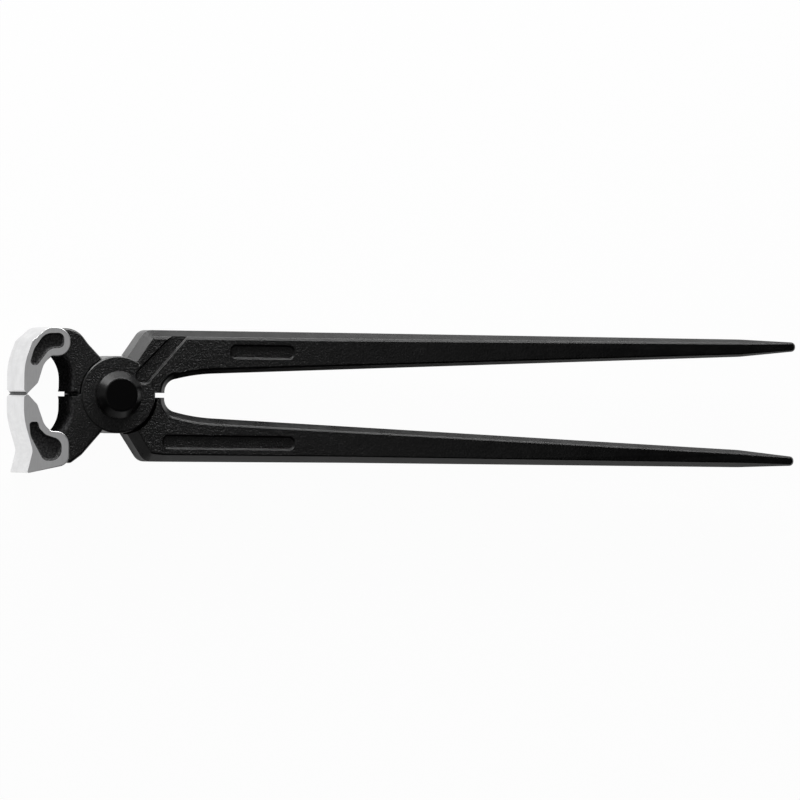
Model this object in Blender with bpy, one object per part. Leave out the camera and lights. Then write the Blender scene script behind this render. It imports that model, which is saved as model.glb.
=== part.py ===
"""Cutting nippers: two drop-forged arms lie one on the other at the joint and turn on one rivet.

One jaw has a round back, the other ends in a flat hammer face. Metres, real size. The tool lies flat:
the pivot runs along Z with the rivet's head up, the handles run to +X and the jaws point to -X. The
origin is the middle of the rivet's flat tail, on the pivot.
"""

import math

import bmesh
import bpy
from mathutils import Matrix

# Joint
HUB_RADIUS = 0.0143
HUB_THICKNESS = 0.0195
HUB_RIM_WIDTH = 0.0021
HUB_RIM_DEPTH = 0.0016
RUNNING_GAP = 0.0003
NOTCH_X = 0.0063            # where a web's back meets the hub
NOTCH_Y = 0.0134
WALL_FOOT_X = 0.0041        # where a handle's wall meets the hub, at the same height

# Rivet
SHANK_RADIUS = 0.0054
HEAD_RADIUS = 0.0089
HEAD_TOP_RADIUS = 0.0056
HEAD_HEIGHT = 0.0043
HEAD_RIM = 0.0005
TAIL_RADIUS = 0.0074
TAIL_DEPTH = 0.0021

# Jaws: setbacks run from the front of the head towards the hub, heights from the X axis
JAW_WIDTH = 0.024
JAW_REACH = 0.03675
HEAD_LENGTH = 0.01765       # from the front of a jaw back to the hub side of its ring
EDGE_SETBACK = 0.00105
EDGE_BEVEL = 0.00115
JAW_EDGE_CHAMFER = 0.00035
JAW_STRAIGHT = 0.008
BACK_RADIUS = 0.028
BLADE_FOOT = 0.00425        # thickness of the blade by the cutting edge
BLADE_FOOT_Y = 0.004
BLADE_WAIST = 0.00745       # its thickness half way up
BLADE_WAIST_Y = 0.0115
UNDERSIDE_LENGTH = 0.0072   # of the ring's lower side, over the mouth
RING_UNDERSIDE = 0.014
RING_RADIUS = 0.0048
MOUTH_RADIUS = 0.003

# Plain jaw
JAW_TOP = 0.0254
CROWN_DROP = 0.0013
SHOULDER_SETBACK = 0.00285
SHOULDER_DROP = 0.0056
SHOULDER_ROUNDING = 0.002

# Hammer jaw
HAMMER_WAIST_SETBACK = 0.00385
HAMMER_WAIST_Y = 0.0207
HAMMER_WAIST_RADIUS = 0.004
HAMMER_CORNER_SETBACK = 0.0016
HAMMER_CORNER_Y = 0.02895
HAMMER_HEEL_Y = 0.0256
HAMMER_HEEL_RADIUS = 0.003

# Sunken panel in each side of each jaw
PANEL_DEPTH = 0.0015
PANEL_SLOPE = 0.0006
PANEL_RIM = 0.0021
PANEL_RING_RIM = 0.0027
PANEL_FOOT_Y = 0.0104
PANEL_FOOT_RADIUS = 0.0012
PANEL_BACK_RADIUS = 0.007
PANEL_RADIUS = 0.004
PLAIN_PANEL_END_RADIUS = 0.0019
HAMMER_PANEL_END_RADIUS = 0.0033

# Web between the jaw and the hub
WEB_DROP = 0.00025
WEB_CHAMFER = 0.0012
WEB_WALL = 0.0033           # between the hub and the mouth
WEB_MOUTH_RADIUS = 0.005
WEB_TOP_SETBACK = 0.0012    # of its upper corner from the ring
WEB_LAP = 0.003             # how deep it runs into the ring
PLAIN_WEB_TOP = 0.0252
PLAIN_WEB_RADIUS = 0.005
HAMMER_WEB_RADIUS = 0.0015
JAW_SLOT = 0.0015

# Handles
HANDLE_REACH = 0.2634
HANDLE_SPREAD = 0.0482
HANDLE_CHAMFER = 0.0036
HANDLE_INNER_CHAMFER = 0.0022
BEND_CHAMFER = 0.0034
HANDLE_SHOULDER_X = 0.0116
HANDLE_SHOULDER_RADIUS = 0.004
HANDLE_SLOT = 0.0027
WALL_LAP = 0.6              # share of a handle's wall that it runs on into the hub
BEND_X = 0.0176
BEND_Y = 0.00705
BEND_RADIUS = 0.006
INNER_SLOPE = 0.047
HANDLE_ROOT_THICKNESS = 0.0184
THINNING = 1.6              # above 1 the handle thins fast by the hub and slowly towards the tip

# Flat nib at the end of each handle
NIB_LENGTH = 0.0214
NIB_WIDTH = 0.0062
NIB_DRAW_IN = 0.0003
NIB_CHAMFER = 0.0016
NIB_INNER_CHAMFER = 0.0013
NIB_OUTER_RADIUS = 0.04
NIB_INNER_RADIUS = 0.03
TIP_DRAW_IN = 0.0028
TIP_RADIUS = 0.00165
TIP_CHAMFER = 0.00115
TIP_THICKNESS = 0.008

# Eased edges, from the side wall to the face: share of the width inwards, share of the depth below the face
CHAMFER_STEEPNESS = 1.08
ONE_FACET = ((0, 1), (1, 0))
HANDLE_FACETS = ((0, 1), (0.47, 0.28), (1, 0))
WEB_FACETS = ((0, 1), (0.3, 0.3), (1, 0))

# Sunken bands in the front face of the handles
BAND_WIDTH = 0.0056
BAND_DEPTH = 0.0008
BAND_SLOPE = 0.0004
BAND_END_RADIUS = 0.0025
FRONT_BAND_START = 0.0433
FRONT_BAND_END = 0.0685
FRONT_BAND_INSET = 0.0076   # from the handle's outer edge
REAR_BAND_START = 0.0175
REAR_BAND_END = 0.069
REAR_BAND_INSET = 0.0069
SLANT_BAND_ANGLE = 46.5
SLANT_BAND_X = 0.00746
SLANT_BAND_Y = 0.00617

# Fineness
ARC_STEP = math.radians(9)
BEND_STEPS = 8
STATIONS = 9
HUB_SEGMENTS = 96
RIVET_SEGMENTS = 72

MID_PLANE = HUB_THICKNESS / 2
EDGE_Y = RUNNING_GAP / 2
HALF_SPREAD = HANDLE_SPREAD / 2
SHOULDER_RADIUS = HUB_RADIUS + RUNNING_GAP
HOLE_RADIUS = SHANK_RADIUS + RUNNING_GAP
FRONT_X = -JAW_REACH
RING_X = FRONT_X + HEAD_LENGTH
CROWN_X = FRONT_X + HEAD_LENGTH / 2
MOUTH_ROOF_X = RING_X - UNDERSIDE_LENGTH


def rounded(corners, arc_steps=None):
    """Points of a closed outline, each corner (x, y, radius, chamfer) rounded by an arc of its radius."""
    points = []
    for i, (x, y, radius, chamfer) in enumerate(corners):
        before = corners[i - 1]
        after = corners[(i + 1) % len(corners)]
        in_x, in_y = x - before[0], y - before[1]
        out_x, out_y = after[0] - x, after[1] - y
        turn = math.atan2(in_x * out_y - in_y * out_x, in_x * out_x + in_y * out_y)
        if radius == 0:
            points.append((x, y, chamfer))
            continue
        tangent = radius * math.tan(abs(turn) / 2)
        start = math.atan2(in_y, in_x)
        side = math.copysign(1, turn)
        start_x = x - tangent * math.cos(start)
        start_y = y - tangent * math.sin(start)
        centre_x = start_x - side * radius * math.sin(start)
        centre_y = start_y + side * radius * math.cos(start)
        steps = arc_steps or max(2, math.ceil(abs(turn) / ARC_STEP))
        for step in range(steps + 1):
            heading = start + turn * step / steps
            points.append((
                centre_x + side * radius * math.sin(heading),
                centre_y - side * radius * math.cos(heading),
                chamfer,
            ))
    return points


def inset(points):
    """The same outline with, for each point, the step inwards that moves both its edges by one unit."""
    area = sum(
        points[i - 1][0] * points[i][1] - points[i][0] * points[i - 1][1]
        for i in range(len(points))
    )
    turned_left = points if area > 0 else points[::-1]
    result = []
    for i, (x, y, chamfer) in enumerate(turned_left):
        before = turned_left[i - 1]
        after = turned_left[(i + 1) % len(turned_left)]
        length_in = math.hypot(x - before[0], y - before[1])
        length_out = math.hypot(after[0] - x, after[1] - y)
        normal_in = (-(y - before[1]) / length_in, (x - before[0]) / length_in)
        normal_out = (-(after[1] - y) / length_out, (after[0] - x) / length_out)
        scale = 1 + normal_in[0] * normal_out[0] + normal_in[1] * normal_out[1]
        step_x = (normal_in[0] + normal_out[0]) / scale
        step_y = (normal_in[1] + normal_out[1]) / scale
        result.append((x, y, chamfer, step_x, step_y))
    return result


def new_object(name, verts, faces):
    mesh = bpy.data.meshes.new(name)
    mesh.from_pydata(verts, [], faces)
    work = bmesh.new()
    work.from_mesh(mesh)
    bmesh.ops.recalc_face_normals(work, faces=work.faces)
    work.to_mesh(mesh)
    work.free()
    made = bpy.data.objects.new(name, mesh)
    bpy.context.scene.collection.objects.link(made)
    return made


def stack(name, rings, striped=False):
    """A closed solid whose sides join the rings in order, with a cap on the first and the last.

    A striped cap joins the two sides of a long ring straight across, so that it can curve lengthways.
    """
    count = len(rings[0])
    verts = [point for ring in rings for point in ring]
    faces = []
    for level in range(len(rings) - 1):
        low = level * count
        high = low + count
        for i in range(count):
            j = (i + 1) % count
            faces.append((low + i, low + j, high + j, high + i))
    top = (len(rings) - 1) * count
    if striped:
        for i in range(count // 2 - 1):
            j = count - 1 - i
            faces.append((i + 1, i, j, j - 1))
            faces.append((top + i, top + i + 1, top + j - 1, top + j))
    else:
        faces.append(tuple(range(count - 1, -1, -1)))
        faces.append(tuple(range(top, top + count)))
    return new_object(name, verts, faces)


def slab(name, points, half_thickness, facets, striped=False):
    """An outline given thickness both ways from z = 0, its edges eased by facets.

    half_thickness gives the half thickness at x. Each facet line is (share of the chamfer's width
    inwards, share of its depth below the face), from the side wall to the face.
    """
    upper = []
    for inward, below in facets:
        ring = []
        for x, y, chamfer, step_x, step_y in inset(points):
            ring_x = x + step_x * chamfer * inward
            height = half_thickness(ring_x) - chamfer * CHAMFER_STEEPNESS * below
            ring.append((ring_x, y + step_y * chamfer * inward, height))
        upper.append(ring)
    lower = [[(x, y, -z) for x, y, z in ring] for ring in reversed(upper)]
    return stack(name, lower + upper, striped)


def prism(name, outline, low, high):
    return stack(name, [[(p[0], p[1], z) for p in outline] for z in (low, high)])


def turned(name, profile, segments):
    """A solid of revolution about Z from (radius, z) pairs that run from its lowest face to its highest."""
    rings = []
    for radius, z in profile:
        angles = [2 * math.pi * i / segments for i in range(segments)]
        rings.append([(radius * math.cos(a), radius * math.sin(a), z) for a in angles])
    return stack(name, rings)


def apply(base, others, operation):
    """Joins the others to the base, or cuts them out of it, and keeps the result as the base's mesh."""
    for other in others:
        step = base.modifiers.new(other.name, 'BOOLEAN')
        step.object = other
        step.operation = operation
        step.solver = 'EXACT'
    bpy.context.view_layer.update()
    result = bpy.data.meshes.new_from_object(base.evaluated_get(bpy.context.evaluated_depsgraph_get()))
    base.modifiers.clear()
    base.data = result
    for other in others:
        bpy.data.objects.remove(other)
    return base


def blade_corners():
    """The cutting end of a jaw in side view, from the edge up its front."""
    ease = JAW_EDGE_CHAMFER
    return [
        (FRONT_X + EDGE_SETBACK, EDGE_Y, 0, ease),
        (FRONT_X, EDGE_BEVEL, 0, ease),
        (FRONT_X, JAW_STRAIGHT, BACK_RADIUS, ease),
    ]


def mouth_corners():
    """The inner side of a jaw, from the hub side of its ring back down to the cutting edge."""
    ease = JAW_EDGE_CHAMFER
    return [
        (RING_X, RING_UNDERSIDE, RING_RADIUS, ease),
        (MOUTH_ROOF_X, RING_UNDERSIDE, MOUTH_RADIUS, ease),
        (FRONT_X + BLADE_WAIST, BLADE_WAIST_Y, RING_RADIUS, ease),
        (FRONT_X + BLADE_FOOT, BLADE_FOOT_Y, MOUTH_RADIUS, ease),
    ]


def plain_jaw_corners():
    """The upper jaw in side view, with a smooth round back."""
    ease = JAW_EDGE_CHAMFER
    return [
        *blade_corners(),
        (FRONT_X + SHOULDER_SETBACK, JAW_TOP - SHOULDER_DROP, SHOULDER_ROUNDING, ease),
        (CROWN_X, JAW_TOP - CROWN_DROP, RING_RADIUS, ease),
        (RING_X, JAW_TOP, RING_RADIUS, ease),
        *mouth_corners(),
    ]


def hammer_jaw_corners():
    """The lower jaw in side view, whose back draws in to a waist and flares to the flat hammer face."""
    ease = JAW_EDGE_CHAMFER
    return [
        *blade_corners(),
        (FRONT_X + HAMMER_WAIST_SETBACK, HAMMER_WAIST_Y, HAMMER_WAIST_RADIUS, ease),
        (FRONT_X + HAMMER_CORNER_SETBACK, HAMMER_CORNER_Y, 0, ease),
        (RING_X, HAMMER_HEEL_Y, HAMMER_HEEL_RADIUS, ease),
        *mouth_corners(),
    ]


def plain_panel_corners():
    """The upper jaw's panel: a kidney that keeps a rim's width from the jaw's outline."""
    shoulder_y = JAW_TOP - SHOULDER_DROP
    end_x = RING_X - PANEL_RING_RIM
    return [
        (FRONT_X + PANEL_RIM, PANEL_FOOT_Y, PANEL_FOOT_RADIUS, 0),
        (FRONT_X + SHOULDER_SETBACK, shoulder_y - PANEL_RING_RIM, PANEL_BACK_RADIUS, 0),
        (CROWN_X, JAW_TOP - CROWN_DROP - PANEL_RIM, RING_RADIUS, 0),
        (end_x, JAW_TOP - PANEL_RING_RIM, PLAIN_PANEL_END_RADIUS, 0),
        (end_x, RING_UNDERSIDE + PANEL_RING_RIM, PLAIN_PANEL_END_RADIUS, 0),
        (MOUTH_ROOF_X - PANEL_RIM / 2, RING_UNDERSIDE + PANEL_RIM, PANEL_RADIUS, 0),
        (FRONT_X + BLADE_WAIST - PANEL_RIM, PANEL_FOOT_Y, PANEL_FOOT_RADIUS, 0),
    ]


def hammer_panel_corners():
    """The lower jaw's panel, a kidney that is tall by the hammer face."""
    top_y = (HAMMER_CORNER_Y + HAMMER_HEEL_Y) / 2 - PANEL_RIM
    end_x = RING_X - PANEL_RIM
    return [
        (FRONT_X + PANEL_RIM, PANEL_FOOT_Y, PANEL_FOOT_RADIUS, 0),
        (FRONT_X + HAMMER_WAIST_SETBACK, HAMMER_WAIST_Y - 2 * PANEL_RIM, PANEL_BACK_RADIUS, 0),
        (CROWN_X, top_y, HAMMER_PANEL_END_RADIUS, 0),
        (end_x, top_y, HAMMER_PANEL_END_RADIUS, 0),
        (end_x, RING_UNDERSIDE + PANEL_RING_RIM, HAMMER_PANEL_END_RADIUS, 0),
        (MOUTH_ROOF_X - PANEL_RIM, RING_UNDERSIDE + PANEL_RIM, PANEL_RADIUS, 0),
        (FRONT_X + BLADE_WAIST - PANEL_RIM, PANEL_FOOT_Y, PANEL_FOOT_RADIUS, 0),
    ]


def panel_cutter(name, corners, face):
    """A shallow panel with sloping walls, sunk into the side of a jaw that lies at z = face or -face."""
    outside = inset(rounded(corners))
    floor = face - PANEL_DEPTH
    over = face + PANEL_DEPTH
    rings = []
    for share, z in ((1, floor), (0, face), (-1, over)):
        rings.append([
            (x + step_x * PANEL_SLOPE * share, y + step_y * PANEL_SLOPE * share, z)
            for x, y, _, step_x, step_y in outside
        ])
    return stack(name, rings)


def web(name, top_y, top_radius):
    """The blade between a jaw and the hub, with the mouth on its inner side."""
    ease = WEB_CHAMFER
    mouth_x = -HUB_RADIUS - WEB_WALL
    inside = HUB_RADIUS / 3
    corners = [
        (-inside, JAW_SLOT / 2, 0, ease),
        (mouth_x, JAW_SLOT / 2, 0, ease),
        (mouth_x, RING_UNDERSIDE, WEB_MOUTH_RADIUS, ease),
        (MOUTH_ROOF_X, RING_UNDERSIDE + WEB_LAP, 0, ease),
        (MOUTH_ROOF_X, JAW_TOP - WEB_LAP, 0, ease),
        (RING_X + WEB_TOP_SETBACK, top_y, top_radius, ease),
        (-NOTCH_X, NOTCH_Y, 0, ease),
        (-inside / 2, 2 * inside, 0, ease),
    ]
    half = HUB_THICKNESS / 2 - WEB_DROP
    return slab(name, rounded(corners), lambda x: half, WEB_FACETS)


def handle_half_thickness(x):
    left = max(0, 1 - x / HANDLE_REACH)
    return (TIP_THICKNESS + (HANDLE_ROOT_THICKNESS - TIP_THICKNESS) * left ** THINNING) / 2


def along_edge(start, end):
    """Stations between two corners of a handle's edge, with the chamfer passing from one to the other."""
    stations = []
    for i in range(1, STATIONS + 1):
        share = i / (STATIONS + 1)
        x, y, chamfer = (a + (b - a) * share for a, b in zip(start, end))
        stations.append((x, y, 0, chamfer))
    return stations


def handle(name):
    """One handle below the X axis: a bar with two facets along its outer edge, tapering to a round tip."""
    wall_x = HANDLE_SHOULDER_X - WALL_FOOT_X
    wall_y = HALF_SPREAD - NOTCH_Y
    root = [
        (WALL_FOOT_X - lap * wall_x, -(NOTCH_Y - lap * wall_y), 0, HANDLE_CHAMFER)
        for lap in (WALL_LAP, WALL_LAP / 2)
    ]
    nib_x = HANDLE_REACH - NIB_LENGTH
    nib_outer_y = -(HALF_SPREAD - NIB_DRAW_IN)
    nib_inner_y = nib_outer_y + NIB_WIDTH
    tip_y = -(HALF_SPREAD - TIP_DRAW_IN)
    past_bend = 1.5 * BEND_RADIUS
    outer = along_edge(
        (HANDLE_SHOULDER_X + HANDLE_SHOULDER_RADIUS, -HALF_SPREAD, HANDLE_CHAMFER),
        (nib_x, nib_outer_y, NIB_CHAMFER))
    inner = along_edge(
        (BEND_X + past_bend, -(BEND_Y + INNER_SLOPE * past_bend), HANDLE_INNER_CHAMFER),
        (nib_x, nib_inner_y, NIB_INNER_CHAMFER))
    half_slot = HANDLE_SLOT / 2
    corners = [
        *root,
        (HANDLE_SHOULDER_X, -HALF_SPREAD, HANDLE_SHOULDER_RADIUS, HANDLE_CHAMFER),
        *outer,
        (nib_x, nib_outer_y, NIB_OUTER_RADIUS, NIB_CHAMFER),
        (HANDLE_REACH, tip_y - TIP_RADIUS, TIP_RADIUS, TIP_CHAMFER),
        (HANDLE_REACH, tip_y + TIP_RADIUS, TIP_RADIUS, TIP_CHAMFER),
        (nib_x, nib_inner_y, NIB_INNER_RADIUS, NIB_INNER_CHAMFER),
        *reversed(inner),
        (BEND_X, -BEND_Y, BEND_RADIUS, BEND_CHAMFER),
        (BEND_X, HANDLE_SLOT * 2, 0, BEND_CHAMFER),
        (0, HANDLE_SLOT * 2, 0, BEND_CHAMFER),
    ]
    outline = rounded(corners, BEND_STEPS)
    bar = slab(name, outline, handle_half_thickness, HANDLE_FACETS, striped=True)
    low_x, high_x = -HUB_RADIUS, BEND_X * 2
    across = [(low_x, -half_slot), (high_x, -half_slot), (high_x, HUB_RADIUS), (low_x, HUB_RADIUS)]
    return apply(bar, [prism('slot_side', across, -HUB_THICKNESS, HUB_THICKNESS)], 'DIFFERENCE')


def hub(name):
    """The half-thick disc of one arm, below z = 0, with a sloping rim round its outer face."""
    face = -HUB_THICKNESS / 2
    profile = [
        (HUB_RADIUS - HUB_RIM_WIDTH, face),
        (HUB_RADIUS, face + HUB_RIM_DEPTH),
        (HUB_RADIUS, -RUNNING_GAP / 2),
    ]
    return turned(name, profile, HUB_SEGMENTS)


def arm(name, jaw_corners, panel_corners, web_top_y, web_radius):
    """One arm as forged: jaw above the X axis, hub disc below z = 0, handle below the X axis."""
    jaw = slab(name, rounded(jaw_corners), lambda x: JAW_WIDTH / 2, ONE_FACET)
    apply(jaw, [web('web', web_top_y, web_radius), handle('handle')], 'UNION')
    room = [(SHOULDER_RADIUS, -RUNNING_GAP / 2), (SHOULDER_RADIUS, HUB_THICKNESS)]
    apply(jaw, [turned('room_for_other_hub', room, HUB_SEGMENTS)], 'DIFFERENCE')
    apply(jaw, [hub('hub')], 'UNION')
    hole = turned('hole', [(HOLE_RADIUS, -HUB_THICKNESS), (HOLE_RADIUS, HUB_THICKNESS)], RIVET_SEGMENTS)
    front_panel = panel_cutter('front_panel', panel_corners, JAW_WIDTH / 2)
    back_panel = panel_cutter('back_panel', panel_corners, JAW_WIDTH / 2)
    back_panel.data.transform(Matrix.Diagonal((1, 1, -1, 1)))
    back_panel.data.flip_normals()
    apply(jaw, [hole, front_panel, back_panel], 'DIFFERENCE')
    return jaw


def band_cutter(name, start_x, start_y, direction, length):
    """A long sunken band with round ends, its floor parallel to the handle's sloping face."""
    half = BAND_WIDTH / 2
    corners = [
        (0, -half, BAND_END_RADIUS, 0),
        (length, -half, BAND_END_RADIUS, 0),
        (length, half, BAND_END_RADIUS, 0),
        (0, half, BAND_END_RADIUS, 0),
    ]
    rings = []
    for share in (1, 0, -1):
        ring = []
        for u, v, _, step_u, step_v in inset(rounded(corners)):
            run = u + step_u * BAND_SLOPE * share
            across = v + step_v * BAND_SLOPE * share
            x = start_x + run * math.cos(direction) - across * math.sin(direction)
            y = start_y + run * math.sin(direction) + across * math.cos(direction)
            ring.append((x, y, handle_half_thickness(x) - BAND_DEPTH * share))
        rings.append(ring)
    return stack(name, rings)


def rear_arm():
    made = arm('rear_arm', plain_jaw_corners(), plain_panel_corners(), PLAIN_WEB_TOP, PLAIN_WEB_RADIUS)
    room_radius = TAIL_RADIUS + 2 * RUNNING_GAP
    countersink = turned('countersink', [
        (room_radius, -HUB_THICKNESS),
        (room_radius, -MID_PLANE),
        (SHANK_RADIUS, -MID_PLANE + TAIL_DEPTH + 2 * RUNNING_GAP),
    ], RIVET_SEGMENTS)
    band = band_cutter(
        'band', REAR_BAND_START, REAR_BAND_INSET - HALF_SPREAD, 0, REAR_BAND_END - REAR_BAND_START)
    apply(made, [countersink, band], 'DIFFERENCE')
    made.location.z = MID_PLANE
    return made


def front_arm():
    made = arm('front_arm', hammer_jaw_corners(), hammer_panel_corners(), HAMMER_HEEL_Y, HAMMER_WEB_RADIUS)
    made.data.transform(Matrix.Rotation(math.pi, 4, 'X'))
    slant = math.radians(SLANT_BAND_ANGLE)
    slanted = band_cutter(
        'slanted_band', SLANT_BAND_X, SLANT_BAND_Y, slant, (HALF_SPREAD - SLANT_BAND_Y) / math.sin(slant))
    straight = band_cutter(
        'straight_band', FRONT_BAND_START, HALF_SPREAD - FRONT_BAND_INSET, 0,
        FRONT_BAND_END - FRONT_BAND_START)
    apply(made, [slanted, straight], 'DIFFERENCE')
    made.location.z = MID_PLANE
    return made


def rivet():
    """One solid: a flat tail set into the rear arm, the shank, and a head with a steep skirt."""
    seat = HUB_THICKNESS + RUNNING_GAP
    return turned('rivet', [
        (TAIL_RADIUS, 0),
        (SHANK_RADIUS, TAIL_DEPTH),
        (SHANK_RADIUS, seat),
        (HEAD_RADIUS, seat),
        (HEAD_RADIUS, seat + HEAD_RIM),
        (HEAD_TOP_RADIUS + HEAD_RIM / 2, seat + HEAD_HEIGHT - HEAD_RIM / 2),
        (HEAD_TOP_RADIUS - HEAD_RIM / 2, seat + HEAD_HEIGHT),
    ], RIVET_SEGMENTS)


def finish(made, colour, roughness, metallic):
    look = bpy.data.materials.new(made.name + '_finish')
    look.use_nodes = True
    shader = look.node_tree.nodes['Principled BSDF']
    shader.inputs['Base Color'].default_value = (*colour, 1)
    shader.inputs['Roughness'].default_value = roughness
    shader.inputs['Metallic'].default_value = metallic
    made.data.materials.clear()
    made.data.materials.append(look)
    made.data.shade_smooth()
    made.data.set_sharp_from_angle(angle=math.radians(30))


def main():
    for old in list(bpy.data.objects):
        bpy.data.objects.remove(old)
    finish(rear_arm(), (0.02, 0.02, 0.021), 0.5, 0.6)
    finish(front_arm(), (0.022, 0.022, 0.023), 0.5, 0.6)
    finish(rivet(), (0.015, 0.015, 0.016), 0.4, 0.7)


main()
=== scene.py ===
import math

import bmesh
import bpy
import numpy as np
from mathutils import Matrix, Vector


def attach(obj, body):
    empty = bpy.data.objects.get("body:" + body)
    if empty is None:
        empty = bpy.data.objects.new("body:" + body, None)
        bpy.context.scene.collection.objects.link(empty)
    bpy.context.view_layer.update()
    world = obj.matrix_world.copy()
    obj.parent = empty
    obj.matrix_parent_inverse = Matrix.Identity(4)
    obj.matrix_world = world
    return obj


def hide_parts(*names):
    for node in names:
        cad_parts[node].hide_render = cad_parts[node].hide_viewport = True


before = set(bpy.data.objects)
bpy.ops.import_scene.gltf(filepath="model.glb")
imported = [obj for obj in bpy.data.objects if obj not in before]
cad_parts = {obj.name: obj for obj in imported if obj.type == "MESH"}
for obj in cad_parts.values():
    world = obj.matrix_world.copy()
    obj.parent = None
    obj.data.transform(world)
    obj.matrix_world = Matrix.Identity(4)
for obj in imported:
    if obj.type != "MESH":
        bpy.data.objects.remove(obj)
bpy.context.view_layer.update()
print("frame loaded:", sorted(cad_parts))

# Shapes are worked out in millimetres, in an arm's own frame: the pivot along Z, the plane between
# the two hub halves at z = 0, the jaw at +Y and the handle at -Y. The front arm is the same form
# turned over about X.
millimetre = 0.001
middleZ = 9.75
arcStep = math.radians(4)
outlineSpacing = 1.5
cutterReach = 20  # how far the round cutters reach from z = 0, well past both faces
weldDistance = 0.003
blackFinish, brightFinish, panelFinish, bevelFinish, mouthShadeFinish = range(5)


# Outlines

# A closed or open line through corners (x, y, radius, width), each corner replaced by an arc of its
# radius: centre + radius * (sin, -cos) of a heading that turns evenly from one side to the next.
def roundCorners(corners, closed=True, steps=None):
    rows = np.array(corners, float)
    arriving = rows[:, :2] - np.roll(rows, 1, axis=0)[:, :2]
    leaving = np.roll(rows, -1, axis=0)[:, :2] - rows[:, :2]
    cross = arriving[:, 0] * leaving[:, 1] - arriving[:, 1] * leaving[:, 0]
    turn = np.arctan2(cross, (arriving * leaving).sum(axis=1))
    heading = np.arctan2(arriving[:, 1], arriving[:, 0])
    if not closed:
        rows[[0, -1], 2] = 0
    parts = []
    for (x, y, radius, width), bend, start in zip(rows, turn, heading):
        if radius == 0:
            parts.append(np.array([[x, y, width]]))
            continue
        count = steps or max(3, math.ceil(abs(bend) / arcStep))
        headings = start + bend * np.linspace(0, 1, count + 1)
        side = math.copysign(radius, bend)
        tangent = radius * math.tan(abs(bend) / 2)
        centreX = x - tangent * math.cos(start) - side * math.sin(start)
        centreY = y - tangent * math.sin(start) + side * math.cos(start)
        parts.append(np.column_stack([
            centreX + side * np.sin(headings),
            centreY - side * np.cos(headings),
            np.full(count + 1, width),
        ]))
    return np.vstack(parts)


# The same closed line with points added evenly, so that no stretch is longer than the spacing.
def withStations(points, spacing):
    ahead = np.roll(points, -1, axis=0)
    length = np.hypot(*(ahead - points)[:, :2].T)
    counts = np.maximum(1, np.ceil(length / spacing)).astype(int)
    index = np.repeat(np.arange(len(points)), counts)
    first = np.repeat(np.cumsum(counts) - counts, counts)
    share = (np.arange(len(index)) - first) / counts[index]
    return points[index] + (ahead - points)[index] * share[:, None]


# Direction inwards at each point of a closed line, as long as it takes to move both its sides by one.
def inwardSteps(points):
    ahead = np.roll(points, -1, axis=0)[:, :2] - points[:, :2]
    ahead = ahead / np.hypot(*ahead.T)[:, None]
    normal = np.column_stack([-ahead[:, 1], ahead[:, 0]])
    before = np.roll(normal, 1, axis=0)
    return (normal + before) / (1 + (normal * before).sum(axis=1))[:, None]


# The closed line turned round where its area, half the sum of its points' cross products, is negative.
def leftTurning(points):
    ahead = np.roll(points, -1, axis=0)
    area = (points[:, 0] * ahead[:, 1] - points[:, 1] * ahead[:, 0]).sum()
    return points if area > 0 else points[::-1]


# Finishes

noiseLow, noiseHigh = 0.3, 0.7  # most of a noise lies between these two


# A new material and its shader.
def newMaterial(name):
    material = bpy.data.materials.new(name)
    material.use_nodes = True
    return material, material.node_tree.nodes["Principled BSDF"]


# Adds a node to a material or the world, sets its options, and gives each input a value or another
# node's output.
def addNode(owner, kind, inputs, **options):
    node = owner.node_tree.nodes.new(kind)
    for option, value in options.items():
        setattr(node, option, value)
    for socket, value in inputs.items():
        if isinstance(value, bpy.types.NodeSocket):
            owner.node_tree.links.new(value, node.inputs[socket])
        else:
            node.inputs[socket].default_value = value
    return node


# The outcome of one sum on numbers or other nodes' outputs.
def maths(owner, operation, *values, clamp=False):
    inputs = dict(enumerate(values))
    return addNode(owner, "ShaderNodeMath", inputs, operation=operation, use_clamp=clamp).outputs[0]


# The value carried evenly from the first range to the second, and held inside it.
def rescale(owner, value, fromLow, fromHigh, toLow, toHigh):
    inputs = {"Value": value, "From Min": fromLow, "From Max": fromHigh, "To Min": toLow, "To Max": toHigh}
    return addNode(owner, "ShaderNodeMapRange", inputs).outputs["Result"]


# Noise on object coordinates, with as many lumps a metre along X, Y and Z as perMetre says.
def grain(material, perMetre, detail=3, roughness=0.5):
    place = addNode(material, "ShaderNodeTexCoord", {}).outputs["Object"]
    scaled = addNode(material, "ShaderNodeMapping", {"Vector": place, "Scale": perMetre}).outputs["Vector"]
    inputs = {"Vector": scaled, "Scale": 1, "Detail": detail, "Roughness": roughness}
    return addNode(material, "ShaderNodeTexNoise", inputs).outputs["Fac"]


# A share from 0 on even ground to the strength where the surface turns sharply within the reach: it
# grows as the cosine between the plain normal and the one averaged over the reach falls from 1 to 0.9.
def edgeShare(material, reach, strength):
    softened = addNode(material, "ShaderNodeBevel", {"Radius": reach * millimetre}, samples=6)
    plain = addNode(material, "ShaderNodeNewGeometry", {}).outputs["Normal"]
    inputs = {0: softened.outputs["Normal"], 1: plain}
    match = addNode(material, "ShaderNodeVectorMath", inputs, operation="DOT_PRODUCT")
    return rescale(material, match.outputs["Value"], 1, 0.9, 0, strength)


# Mixes the two colours by the share; inputs 0, 6 and 7 of the node are its factor and its colours.
def tone(material, shader, share, dark, light):
    inputs = {0: share, 6: (*dark, 1), 7: (*light, 1)}
    mix = addNode(material, "ShaderNodeMix", inputs, data_type="RGBA")
    material.node_tree.links.new(mix.outputs[2], shader.inputs["Base Color"])


# Bumps the surface by the height, which stands for the depth in millimetres, by the strength's share.
def roughen(material, shader, height, strength, depth):
    inputs = {"Height": height, "Strength": strength, "Distance": depth * millimetre}
    bump = addNode(material, "ShaderNodeBump", inputs)
    material.node_tree.links.new(bump.outputs["Normal"], shader.inputs["Normal"])


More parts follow.
